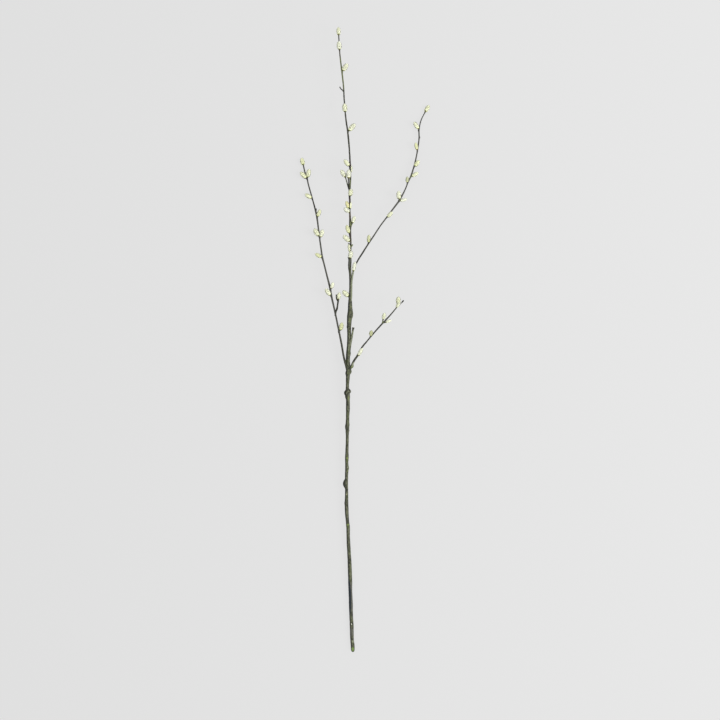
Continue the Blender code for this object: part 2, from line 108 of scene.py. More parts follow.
# The stub that was cut off short, and the spurs and stalks that stand off the shoots: x, y, z, diameter.
SPURS = {
    "stub": [
        (-5.6, 480, 11.8, 3), (-4.4, 490, 13.4, 3.1), (-2.6, 500, 15, 3.1), (-0.9, 510, 16.6, 3),
        (0, 516, 17.6, 3.1), (0.6, 519, 18.2, 4),
    ],
    "twiglet": [
        (-28.3, 538, 12.2, 2.8), (-27.2, 545, 13, 2.7), (-25.6, 549, 13.8, 3.2), (-24.9, 553, 14.6, 2.6),
        (-24.2, 558, 15.4, 2.7), (-23.5, 564, 16.2, 3),
    ],
    "twiglet_spur": [
        (-23.8, 561, 16, 2.2), (-26.1, 565, 16.8, 2.3), (-26.5, 568, 17.6, 2), (-26.6, 572, 18.2, 2.1),
    ],
    "bare_spur": [
        (-14.5, 895, 21.5, 1.9), (-17.2, 898, 22.2, 1.8), (-19.6, 900, 22.8, 1.6), (-21.3, 903, 23.2, 1.8),
    ],
    "cluster_left": [
        (-5.3, 736, 18.6, 2), (-7.9, 744, 19.4, 1.8), (-10.1, 752, 20.2, 1.6), (-12, 759, 21, 1.8),
    ],
    "cluster_front": [
        (-5.1, 738, 18.7, 2), (-6.8, 744, 20.4, 1.8), (-7.3, 751, 21.6, 1.8), (-7.3, 757, 22.6, 2),
    ],
    "thorn_left": [(-3.5, 651, 16.6, 1.4), (-5.9, 653, 17, 1.3), (-8.1, 654, 17.3, 1)],
    "thorn_right": [(-3.3, 648, 16.6, 2.1), (-1.7, 650, 17.2, 2.2), (-0.3, 652, 17.6, 1.7)],
    "shoulder_spur": [(-5.2, 624, 16.1, 2.2), (-6.9, 629, 16.4, 1.8), (-8.1, 632, 16.6, 1.3)],
    "left_spur": [(-59.3, 703, 7.2, 1.7), (-59, 707, 8, 1.5), (-58.5, 710, 8.6, 1.4)],
    "forked_stalk_up": [(46.6, 525, 27.8, 2), (47.4, 529, 29.4, 1.8), (47.9, 532, 30.5, 1.9)],
    "forked_stalk_side": [(46.8, 526, 28, 2), (49.9, 526.6, 28.6, 1.7), (52.2, 527.2, 29, 1.5)],
    "leader_stalk": [(-4.2, 679, 17.3, 2.6), (-2.5, 683, 17.9, 2.3), (-1, 686, 18.3, 1.9)],
}

# Knobs and dormant buds: height up the twig, turn, length, width and how far each stands out.
KNOBS = {
    "stem": [
        (238, 178, 8, 3.6, 0.5), (269, 178, 15, 5.5, 3.4), (292, 60, 6, 3.4, 0.4), (294, 3, 6, 3.4, 0.8),
        (298, 5, 6, 3.2, 0.4), (310, 85, 6, 3.8, 0.7), (354, 10, 4, 2.8, 0.7), (360, 175, 8, 3.8, 0.7),
        (364, 8, 7, 3.4, 0.4), (409, 176, 9, 4, 1.1), (409, 4, 8, 3.6, 0.7), (415, 176, 8, 3.6, 2.6),
        (417, 4, 8, 3.6, 2.5), (446, 178, 8, 4.2, 0.9), (449, 0, 10, 4.4, 2.2), (477, 2, 8, 4, 0.7),
        (520, 180, 5, 3, 0.7), (539, 8, 12, 4.4, 1.3), (545, 4, 9, 4.4, 0.8),
    ],
    "left_branch": [
        (512, 170, 5, 2.2, 0.6), (664, 90, 6, 2.8, 0.4), (689, 100, 5, 2.4, 0.4), (745, 80, 5, 2.2, 0.4),
    ],
    "upper_branch": [
        (668, 100, 5, 2.4, 0.4), (707, 90, 5, 2.6, 0.6), (723, 80, 6, 2.6, 0.4), (824, 5, 5, 2.2, 0.7),
        (835, 175, 4, 2.2, 0.6),
    ],
    "lower_branch": [(458, -5, 7, 3.2, 1.9), (515, 80, 5, 2.2, 0.4), (526, 95, 5, 2.6, 0.7)],
}

# Catkins on the sides of a shoot: height of the foot, turn, lean away from the shoot, how far the foot
# stands off the bark, length, width, and how ripe the fur looks, from 0, silver white, to 1,
# yellow green, and past it golden.
SIDE_CATKINS = {
    "stem": [
        (569, 180, 47, 0.6, 12.6, 7.8, 0.5), (630, 90, 14, 0.2, 11.8, 7.4, 0.2),
        (640, 205, 8, 0.3, 12.8, 5, 0.6), (657, 163, 44, 1.2, 13.4, 7.7, 0.4),
        (670, 140, 22, 0.5, 13.4, 6.4, 1), (704, 140, 60, 0.2, 11.2, 7.4, 0),
        (709, -40, 6, 0.2, 11.4, 4.4, 0.6), (710, 200, 16, 0.8, 11.4, 5.9, 1.4),
        (729, 55, 17, 0.6, 11.2, 7.3, 0.5), (767, -68, 6, 0.3, 11.6, 5.4, 0.3),
        (777, 168, 37, 0.4, 12.6, 6.8, 0.5), (833, 12, 51, 1.2, 14.2, 7.7, 0.4),
        (863, 90, 14, 0.2, 13.2, 7.9, 0.5), (928.5, 15, 44, 0.7, 13.2, 7.8, 0.4),
        (962, 92, 14, 0.2, 13, 7.8, 0.2),
    ],
    "left_branch": [
        (514.5, 15, 24, 1.6, 12.2, 6.9, 1), (571, 155, 29, 0.2, 13, 7.3, 0.3),
        (581.5, 30, 38, 0.5, 10.4, 5.8, 0.2), (632, 160, 50, 0.2, 11.4, 6, 1),
        (664, 20, 32, 0.2, 12.4, 7.2, 0.3), (666, 155, 26, 0.2, 13.4, 7.6, 0.5),
        (697, 25, 35, 0.2, 11.8, 6.2, 0.8), (727, 155, 44, 0.3, 12, 6.6, 0.6),
        (759, 160, 27, 0.3, 13.4, 7, 0.7), (760, 35, 33, 1, 12.9, 7.2, 0.6),
    ],
    "upper_branch": [
        (609, 90, 14, 0.2, 15.4, 6.2, 0.1), (654.5, 168, 28, 0.3, 12, 5.4, 0.9),
        (696, 65, 16, 0.3, 11.6, 6.2, 0.5), (724, 165, 38, 0.2, 12.8, 7.4, 0.3),
        (723, 12, 49, 0.1, 11.2, 5.2, 0), (751, 200, 18, 0.3, 9.4, 5.6, 0.7),
        (762, 15, 39, 0.5, 11.8, 6, 0.5), (778, 12, 19, 0.3, 11.2, 6.9, 0.8),
        (804, 150, 25, 0.2, 11.4, 5.4, 1), (838, 162, 46, 0.2, 12.8, 6.6, 0.5),
    ],
    "lower_branch": [
        (475, 46, -4, 0.2, 13.6, 5.9, 0.3), (505, 160, 28, 0.3, 9, 5.6, 1),
        (551, 118, 30, 0.4, 9.6, 5.4, 0.4), (554, 155, 54, 1, 13.8, 7.2, 0.7),
    ],
}

# Catkins that end a shoot: lean across it towards +X, length, width and ripeness.
END_CATKINS = {
    "stem": (2, 12.6, 6.6, 0.5),
    "left_branch": (-3, 11.6, 6.8, 0.9),
    "upper_branch": (5, 12.2, 6.6, 0.7),
    "twiglet": (3, 11.4, 5.9, 0.4),
    "cluster_left": (-18, 13.4, 7.0, 0.3),
    "cluster_front": (4, 13.8, 7.6, 0.1),
    "forked_stalk_up": (6, 10.8, 6.0, 0.4),
    "forked_stalk_side": (-8, 9.6, 4.4, 0.1),
    "leader_stalk": (-8, 11.4, 6.0, 0.3),
}

# The spurs whose catkins belong with each shoot, so that a piece holds what grows together.
SPURS_OF = {
    "stem": ["cluster_left", "cluster_front", "leader_stalk"],
    "left_branch": ["twiglet"],
    "upper_branch": [],
    "lower_branch": ["forked_stalk_up", "forked_stalk_side"],
}

# The slanted cut at the foot: its angle to the stem, its height at the stem's end, and how far up the stem
# its rings lean with it. Then the bark's rim round the wood of each cut.
FOOT_CUT_ANGLE = 30.0
FOOT_CUT_HEIGHT = 1.1
FOOT_CUT_REACH = 22.0
FOOT_RIM = 0.9
STUB_RIM = FOOT_RIM / 4.0

# The outline of a catkin in its fur: shares of its length and of its width, from its foot to its tip.
FUR_OUTLINE = [
    (0.00, 0.16), (0.04, 0.28), (0.08, 0.355), (0.13, 0.42), (0.22, 0.475), (0.36, 0.50), (0.50, 0.51),
    (0.62, 0.50), (0.73, 0.475), (0.83, 0.42), (0.90, 0.35), (0.95, 0.27), (0.99, 0.18), (1.03, 0.07),
]

# Marks on the bark by their paint: the height up the twig, the turn, the length, the width and the strength.
# Under a strength of about 0.7 only patches of a mark show.
STAINS = {
    "stem": {
        "light": [
            (15.5, 68, 6.5, 3.8, 0.75), (295.5, 60, 3, 3, 0.7), (388, 85, 6, 2.6, 0.5),
            (398.5, 75, 3, 2.6, 0.55), (414, 125, 5, 2, 0.8), (417.5, 65, 4, 1.8, 0.7),
            (487, 88, 20, 1.9, 0.6), (506, 82, 18, 1.7, 0.55),
        ],
        "dark": [
            (19.5, 85, 3, 4.6, 0.9), (164, 8, 4, 2, 0.8), (170.5, 175, 4, 2.6, 1), (269, 178, 16, 6, 0.6),
            (287.5, 62, 3, 3.2, 0.8), (366, 130, 5, 2.5, 0.6), (395.5, 98, 4, 4, 0.75),
            (400.8, 98, 2.6, 3.2, 0.7), (409, 150, 6, 2.6, 0.6), (420, 20, 6, 3, 0.6),
            (453.8, 55, 3, 2.6, 0.9), (540, 80, 3, 2.4, 0.6),
        ],
        "grey": [(31, 90, 22, 14, 0.6), (88, 62, 70, 9, 0.7), (622, 90, 20, 16, 0.65)],
        "white": [(44, 93, 2, 1.8, 1)],
        "navy": [(88, 148, 80, 11, 0.9), (88, 176, 78, 8, 1), (552, 165, 26, 7, 0.8)],
        "moss": [
            (199.5, 110, 5, 5, 0.66), (306.2, 88, 3, 4.6, 0.85), (314.2, 90, 2.8, 4.4, 0.9),
            (379.5, 93, 6, 3.2, 0.52), (466, 120, 7, 3, 0.72), (710.5, 90, 7, 6, 0.6),
        ],
        "green": [(203.5, 95, 4, 9, 0.66), (289.5, 62, 5, 3.2, 0.54), (310.2, 85, 5.5, 5, 0.7)],
        "pale": [(252, 95, 2.8, 2.8, 0.7)],
        "olive": [
            (374.5, 95, 4, 2.6, 0.56), (406, 64, 9, 4.4, 0.66), (444, 66, 5, 2.6, 0.58),
            (446, 92, 6, 3, 0.56), (451, 68, 4, 2.4, 0.6), (531, 75, 12, 3, 0.55),
            (552, 70, 10, 2.6, 0.52), (685, 85, 12, 3, 0.62), (750, 88, 22, 1.8, 0.7),
            (925, 90, 90, 12, 0.56),
        ],
        "rust": [(657, 12, 8, 3, 0.7), (716.5, 90, 5, 4, 0.7)],
        "plum": [(666.5, 90, 9, 12, 0.8), (723.5, 90, 9, 12, 0.8), (781, 90, 16, 12, 0.9)],
        "brown": [(698, 90, 22, 14, 0.55), (962, 90, 50, 12, 0.5)],
    },
    "left_branch": {
        "brown": [(574, 175, 9, 4, 0.4), (631, 165, 6, 3, 0.6)],
        "grey": [(600, 90, 330, 20, 0.55)],
    },
    "upper_branch": {
        "light": [(587, 55, 72, 7, 0.9)],
        "brown": [(609, 150, 5, 3, 0.6), (806, 100, 10, 6, 0.5)],
        "olive": [(723, 80, 7, 3, 0.51), (760, 45, 6, 4, 0.6)],
        "grey": [(740, 90, 270, 20, 0.6)],
        "dark": [(775, 120, 6, 5, 0.8)],
    },
    "lower_branch": {
        "green": [(456, 50, 9, 4.4, 0.5)],
        "light": [(461, 45, 14, 5, 0.62), (556.5, 90, 5, 9, 0.9)],
        "dark": [(477, 80, 9, 6, 0.6), (548, 90, 6, 3, 0.5), (561.2, 90, 3, 9, 0.9)],
        "olive": [(527, 95, 6, 3.5, 0.55)],
    },
    "stub": {"light": [(503, 75, 46, 10, 0.52)], "dark": [(518.6, 90, 3.6, 16, 0.7)]},
    "twiglet": {"dark": [(550, 90, 40, 14, 0.55)]},
    "twiglet_spur": {"dark": [(567, 90, 20, 14, 0.6)]},
    "thorn_right": {"olive": [(650, 80, 10, 8, 0.8)]},
    "cluster_left": {"moss": [(752, 60, 16, 5, 0.6)]},
    "forked_stalk_up": {"olive": [(529, 70, 9, 5, 0.6)]},
    "leader_stalk": {"olive": [(683, 60, 9, 5, 0.6)]},
}

# What paints the bark beside its own greys: the paint's colour and how much of it shows at most.
BARK_PAINTS = {
    "light": ("#7A7F68", 0.72),
    "brown": ("#3F2E1C", 0.70),
    "rust": ("#56402A", 0.70),
    "plum": ("#2E2423", 0.80),
    "grey": ("#484843", 0.75),
    "olive": ("#626A3F", 0.72),
    "moss": ("#424C22", 0.75),
    "green": ("#67753A", 0.70),
    "pale": ("#8F8C70", 0.75),
    "dark": ("#23241B", 0.85),
    "navy": ("#171E23", 0.95),
    "white": ("#D8DAC8", 1.00),
}
# Beside its marks, a bark holds how thin it is and how much painted shade it has.
PAINTS = (*BARK_PAINTS, "thin", "shade")

# The stem's bark has the most detail: the sides of a ring, the step between rings, and the columns that its
# map for a bake is folded into.
FINENESS = {
    "stem": (48, 0.64, 8),
    "left_branch": (28, 0.8, 4),
    "upper_branch": (28, 0.8, 4),
    "lower_branch": (28, 0.8, 3),
}
SPUR_SIDES = 18
SPUR_STEP = 0.32
FEWEST_RINGS = 8
MAP_GAP = 0.04
NOISE_SIZE = 256

# Shoots thicker than the one radius have old bark, and those thinner than the other have young bark.
THICK_RADIUS = 2.2
THIN_RADIUS = 1.3
STUB_THINNESS = 0.2
# The turn of the side on which shade is painted into the bark's colour: the side away from the lamp.
PAINTED_SHADE_TURN = 176.0

# How deep the bark's ridges are, and how far apart its pores.
STEM_BARK = (0.20, 4.2)
BRANCH_BARK = (0.10, 4.6)
SPUR_BARK = (0.10, 3.6)
# The ridges' shares of that depth, how many go round a shoot and how long they are.
RIDGES = ((0.55, 9, 11.0), (0.45, 18, 5.0), (0.30, 26, 2.2))

# A pore's length, width and rise at its full size, its pale share of that, and its ranges of size and paint.
PORE = (1.8, 0.9, 0.12)
PORE_PALE = 5.0 / 6.0
PORE_SIZES = (0.6, 1.2)
PORE_STRENGTHS = (0.45, 0.75)

# A knob's swelling reaches a little past its own length and width, and is flattest at its edge.
KNOB_REACH = 1.1
SWELL_POWER = 1.25
# A stain has its full strength over its middle.
STAIN_FILL = 1.3

# The cushion under a catkin: how far along from the catkin's foot, length, width and rise or strength.
CUSHION_SWELLS = ((-0.6, 6.0, 3.4, 0.45), (-2.4, 1.6, 2.8, 0.22))
CUSHION_STAINS = (("dark", -2.9, 1.3, 2.6, 0.8), ("brown", -0.6, 4.0, 3.0, 0.35))

# Where a year's growth of the stem began, the ridges of such a scar, and how far they stand out. A branch's
# scar is given by its distance along the branch, and a collar by its rise and its reach.
YEAR_SCARS = (552.0, 627.0)
YEAR_SCAR_RISE = 0.10
SCAR_RIDGES = (-0.9, 0.0, 1.0)
SCAR_RIDGE_WIDTH = 0.4
BRANCH_SCAR = (9.0, 0.08)
BRANCH_COLLAR = (0.45, 4.5)
SPUR_COLLAR = (0.25, 1.4)

# Shoots and spurs that end without a catkin, and how nearly their tips close.
BARE_TIPS = (
    "lower_branch", "twiglet_spur", "bare_spur", "thorn_left", "thorn_right", "shoulder_spur", "left_spur",
)
TIP_SHARE = 0.985

# Nothing of the twig comes nearer to the surface than this. The foot is eased towards it.
FLOOR_GAP = 0.05
FLOOR_EASE = 0.25

# The wood of a cut: the share of its radius that is pith, how far it stands out of the bark's end and lies
# back in it, the wave of its year rings from the middle to the bark, and how many rounds shape it.
PITH = 0.12
PITH_DEPTH = 0.03
CUT_RISE = 0.06
CUT_EDGE_RISE = 0.02
CUT_BACK = -0.25
YEAR_WAVE = 34.0
YEAR_WAVE_RISE = 0.02
CUT_ROUNDS = 22
CUT_EDGE = 0.96
CUT_SIDE_SHARE = 0.97
CUT_BACK_SHARE = 0.30

# The body of a catkin: its width as a share of the fur's, and less than that at its foot and its tip.
CORE_SHARE = 0.90
CORE_FOOT_LESS = 0.06
CORE_FOOT_TO = 0.2
CORE_TIP_LESS = 0.30
CORE_TIP_FROM = 0.7
CORE_TIP_POWER = 1.5
CORE_SPAN = (0.02, 0.96)
CORE_END = 0.35
CORE_RINGS = 22
CORE_SIDES = 20
BRACTS_ROUND = 10
BRACTS_ALONG = 11
BRACT_RISE = 0.05
CATKIN_BEND = 0.022
CATKIN_BEND_TO = 1.1

# The fur: tufts wind up the body, and a tuft's hairs start round its middle and gather a little at their
# tips. Those that would pass the catkin's end are held back. Places along a catkin are shares of its
# length, and turns are in radians.
HAIRS_PER_AREA = 38.0
HAIR_WIDTH = 0.165
HAIR_WIDTHS = (0.75, 1.25)
HAIR_KEEL = 0.8
HAIR_SPAN = (0.01, 0.96)
HAIR_UNDER_RIM = 0.04
HAIR_LAST = 0.97
HAIR_END = 0.99
HAIR_END_HELD = 0.75
HAIR_REACH = (0.15, 0.26)
HAIR_OUT = (0.98, 1.08)
HAIR_SUNK = 0.10
HAIR_TIP_OUT = 0.08
TUFTS = 110
TUFT_TURN = 0.80
TUFT_REACH = 0.08
TUFT_GATHERED = 0.86
GOLDEN_TURN = math.pi * (3.0 - math.sqrt(5.0))
# How much a hair is shaded as the soft fur round it, how much that wavers, and how steep it may be.
FUR_SOFTNESS = 0.9
FUR_WAVER = 0.12
FUR_SLOPES = (-0.3, 3.0)
FUR_SLOPE_STEP = 0.03
# On the map for a bake each catkin has a band, with a sliver in it for each hair: where in the band slivers
# begin and how much of it they take, and the places of a sliver's corners.
HAIR_BAND = (0.08, 0.84)
SLIVER_ACROSS = (-0.03, 0.03, 0.0, 0.0)
SLIVER_ALONG = (0.02, 0.02, 0.01, 0.99)

# A bud scale, the places up its outside and inside, and how far each stands off the fur's outline.
SCALE_SIDES = 28
SCALE_ROOT_WIDTH = 1.7
SCALE_THICKNESS = 0.30
SCALE_SNUGNESS = 0.90
SCALE_TURNED_IN = 0.9
SCALE_FURROWS = 14
SCALE_FURROW_DEPTH = 0.05
SCALE_GRAIN_RADIUS = 2.0
SCALE_OUTSIDE = [(up, 0.6 * SCALE_THICKNESS) for up in (0.0, 0.12, 0.30, 0.48, 0.64, 0.80, 0.93)]
SCALE_INSIDE = [(1.0, 0.0), (0.97, -0.4 * SCALE_THICKNESS), (0.70, -0.6 * SCALE_THICKNESS)]
SIDE_ROOT_SETBACK = 0.5
END_ROOT_DEPTH = 2.5
# How far up the catkin its rim comes, how much further on the outer side and at the point there, and how
# much it wavers.
RIM_HEIGHT = 0.085
RIM_SLANT = 0.035
RIM_POINT = 0.06
RIM_WAVER = 0.012
RIM_WAVES = 9

# The catkins above this height make up pieces of their own.
LEADER_FROM = 732.0

# How red and how dark the bud scales are that stand out, by the shoot and the catkin's height.
RED_BROWN = (0.5, 0.0)
BLACKISH = (0.2, 1.0)
SCALE_TONES = {
    ("left_branch", 581.5): RED_BROWN, ("upper_branch", 804): RED_BROWN, ("stem", 777): BLACKISH,
    ("stem", 729): BLACKISH, ("upper_branch", 724): BLACKISH, ("left_branch", 632): BLACKISH,
    ("left_branch", 759): BLACKISH,
}

# Catkins whose fur has dulled, and by how much.
DULL_FUR = {
    ("upper_branch", 751): 0.6, ("upper_branch", 654.5): 0.3, ("lower_branch", 505): 0.6,
    ("left_branch", 514.5): 0.15,
}

# The stage, in metres, and its light.
FLOOR_SIDE = 40.0
FLOOR_PALE = 0.045
FLOOR_GLOW = (0.676, 0.716)
FLOOR_GLOW_REACH = 0.6
WHITE = (1.0, 1.0, 1.0, 1.0)
SKY_LOW = (0.85, 0.86, 0.87, 1.0)
SKY_HIGH = (1.45, 1.45, 1.43, 1.0)
LAMP_OVER = (2.0, -0.2, 1.7)
LAMP_SIDE = 1.4
LAMP_POWER = 56.0

UP = np.array((0.0, 0.0, 1.0))


def unit(vectors):
    return vectors / np.linalg.norm(vectors, axis=-1, keepdims=True)


def wrapped(angles):
    """Angles in radians, brought between minus half a turn and half a turn."""
    return (angles + math.pi) % math.tau - math.pi


def polar(radius, turn, height):
    """Points round an axis."""
    return np.stack(np.broadcast_arrays(radius * np.cos(turn), radius * np.sin(turn), height), -1)


def to_world(points):
    """Points in millimetres from the foot as metres in the twig's own frame."""
    return (points - np.array((*TWIG_MIDDLE, 0.0))) * MM


def noise(seed, across, along, cells):
    """Smooth noise from -1 to 1. It repeats after some cells across, so that it closes round a shoot."""
    values = np.random.default_rng(seed).uniform(-1.0, 1.0, (cells, NOISE_SIZE))
    across, along = np.broadcast_arrays(across, along)
    left, low = np.floor(across).astype(int), np.floor(along).astype(int)
    a, b = across - left, along - low
    a, b = a * a * (3.0 - 2.0 * a), b * b * (3.0 - 2.0 * b)

    def row(low):
        low = low % NOISE_SIZE
        return values[left % cells, low] * (1.0 - a) + values[(left + 1) % cells, low] * a

    return row(low) * (1.0 - b) + row(low + 1) * b


def lifted(name):
    """The rows of a shoot with its height over the surface put in as their third number."""
    heights = np.array(LIFT[name], float)
    return [(x, y, np.interp(y, heights[:, 0], heights[:, 1]), width) for x, y, width in SHOOTS[name]]


class Line:
    """A shoot's middle line in even steps: its places, its directions and its radius."""

    def __init__(self, rows, step):
        rows = np.array(rows, float)
        gaps = np.linalg.norm(np.diff(rows[:, :3], axis=0), axis=1)
        knots = np.concatenate(([0.0], np.cumsum(gaps)))
        slopes = np.gradient(rows, knots, axis=0)
        place = np.linspace(0.0, knots[-1], max(FEWEST_RINGS, round(knots[-1] / step) + 1))
        index = np.clip(np.searchsorted(knots, place) - 1, 0, len(gaps) - 1)
        gap = gaps[index, None]
        t = (place - knots[index])[:, None] / gap
        smooth = (
            rows[index] * (2 * t**3 - 3 * t**2 + 1)
            + slopes[index] * gap * (t**3 - 2 * t**2 + t)
            + rows[index + 1] * (3 * t**2 - 2 * t**3)
            + slopes[index + 1] * gap * (t**3 - t**2)
        )
        self.centre = smooth[:, :3]
        self.radius = smooth[:, 3] / 2.0
        steps = np.linalg.norm(np.diff(self.centre, axis=0), axis=1)
        self.along = np.concatenate(([0.0], np.cumsum(steps)))
        self.direction = unit(np.gradient(self.centre, self.along, axis=0))
        self.right = unit(np.cross(self.direction, UP))
        self.top = np.cross(self.right, self.direction)

    def along_at(self, height):
        """How far along the line a height up the twig is."""
        return float(np.interp(height, self.centre[:, 1], self.along))

    def at(self, along):
        """The middle, the direction and the radius at a distance along the line."""
        middle = np.array([np.interp(along, self.along, self.centre[:, axis]) for axis in range(3)])
        direction = np.array([np.interp(along, self.along, self.direction[:, axis]) for axis in range(3)])
        return middle, unit(direction), float(np.interp(along, self.along, self.radius))


def side_of(direction, turn):
    """The direction square to a shoot, turned round it by some degrees from the side towards +X."""
    right = unit(np.cross(direction, UP))
    angle = math.radians(turn)
    return right * math.cos(angle) + np.cross(right, direction) * math.sin(angle)


def linked(name, data):
    """A new object of the scene."""
    thing = bpy.data.objects.new(name, data)
    bpy.context.scene.collection.objects.link(thing)
    return thing


class Pile:
    """Closed shapes that make up one piece, with their paint and their places on the map for a bake."""

    def __init__(self):
        self.points = []
        self.faces = []
        self.places = []
        self.paints = {}
        self.facings = []
        self.count = 0
        self.columns = 0

    def add(self, points, faces, places, paints):
        """Adds a shape: its points, its faces in groups, and the map places of each group's corners."""
        self.points.append(points)
        self.faces += [group + self.count for group in faces]
        self.places += places
        for paint, values in paints.items():
            self.paints.setdefault(paint, []).append(values)
        self.count += len(points)

    def add_grid(self, grid, paints, columns=1):
        """Adds a closed tube of rings. Its map is its skin cut open, in some columns side by side."""
        rings, sides = grid.shape[:2]
        in_column = math.ceil((rings - 1) / columns)
        ring, side = np.meshgrid(np.arange(rings - 1), np.arange(sides), indexing="ij")
        column = ring // in_column

        def place(up, on, column):
            filled = 1.0 - 2.0 * MAP_GAP
            across = self.columns + column + MAP_GAP + filled * on / sides
            return np.stack((across, MAP_GAP + filled * (up - column * in_column) / in_column), -1)

        after = (side + 1) % sides
        low, high = ring * sides, (ring + 1) * sides
        walls = np.stack((low + side, high + side, high + after, low + after), -1)
        steps = ((0, 0), (1, 0), (1, 1), (0, 1))
        wall_places = np.stack([place(ring + up, side + on, column) for up, on in steps], 2)
        side = np.arange(sides)
        after = (side + 1) % sides
        last = (rings - 1) * sides
        start = np.stack((np.full(sides, rings * sides), side, after), -1)
        end = np.stack((np.full(sides, rings * sides + 1), last + after, last + side), -1)

        def fan(ring, column, steps):
            return np.stack([place(side * 0 + ring + up, side + on, column) for up, on in steps], 1)

        rise = in_column * MAP_GAP / 2.0
        start_places = fan(0, 0, ((-rise, 0.5), (0, 0), (0, 1)))
        end_places = fan(rings - 1, (rings - 2) // in_column, ((rise, 0.5), (0, 1), (0, 0)))
        self.columns += columns

        def flat(values):
            """The values of all rings in one row, with those of the two ends' middles after them."""
            middles = np.stack((values[0].mean(0), values[-1].mean(0)))
            return np.concatenate((values.reshape(-1, *values.shape[2:]), middles))

        faces = [walls.reshape(-1, 4), start, end]
        places = [wall_places.reshape(-1, 4, 2), start_places, end_places]
        self.add(flat(grid), faces, places, {name: flat(values) for name, values in paints.items()})

    def build(self, name, material, slot):
        """Makes the piece: a smooth mesh that rides with the twig and stands for its solid."""
        points = np.concatenate(self.points)
        points[:, 2] = np.maximum(points[:, 2], FLOOR_GAP)
        corners = np.concatenate([group.ravel() for group in self.faces])
        sizes = np.concatenate([np.full(len(group), group.shape[1]) for group in self.faces])
        mesh = bpy.data.meshes.new(name)
        mesh.vertices.add(len(points))
        mesh.vertices.foreach_set("co", to_world(points).astype(np.float32).ravel())
        mesh.loops.add(len(corners))
        mesh.loops.foreach_set("vertex_index", corners.astype(np.int32))
        mesh.polygons.add(len(sizes))
        starts = np.concatenate(([0], np.cumsum(sizes)[:-1]))
        mesh.polygons.foreach_set("loop_start", starts.astype(np.int32))
        mesh.polygons.foreach_set("use_smooth", np.ones(len(sizes), bool))
        for paint, groups in self.paints.items():
            values = np.concatenate(groups)
            kind, field = ("FLOAT", "value") if values.ndim == 1 else ("FLOAT_VECTOR", "vector")
            attribute = mesh.attributes.new(paint, kind, "POINT")
            attribute.data.foreach_set(field, values.astype(np.float32).ravel())
        places = np.concatenate([group.reshape(-1, 2) for group in self.places])
        places[:, 0] /= max(self.columns, 1)
        layer = mesh.uv_layers.new(name="OFBake", do_init=False)
        layer.uv.foreach_set("vector", places.astype(np.float32).ravel())
        mesh.update(calc_edges=True)
        if self.facings:
            mesh.normals_split_custom_set(np.concatenate(self.facings))
        mesh.materials.append(material)
        piece = linked(name, mesh)
        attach(piece, BODY)
        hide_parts(NODE)


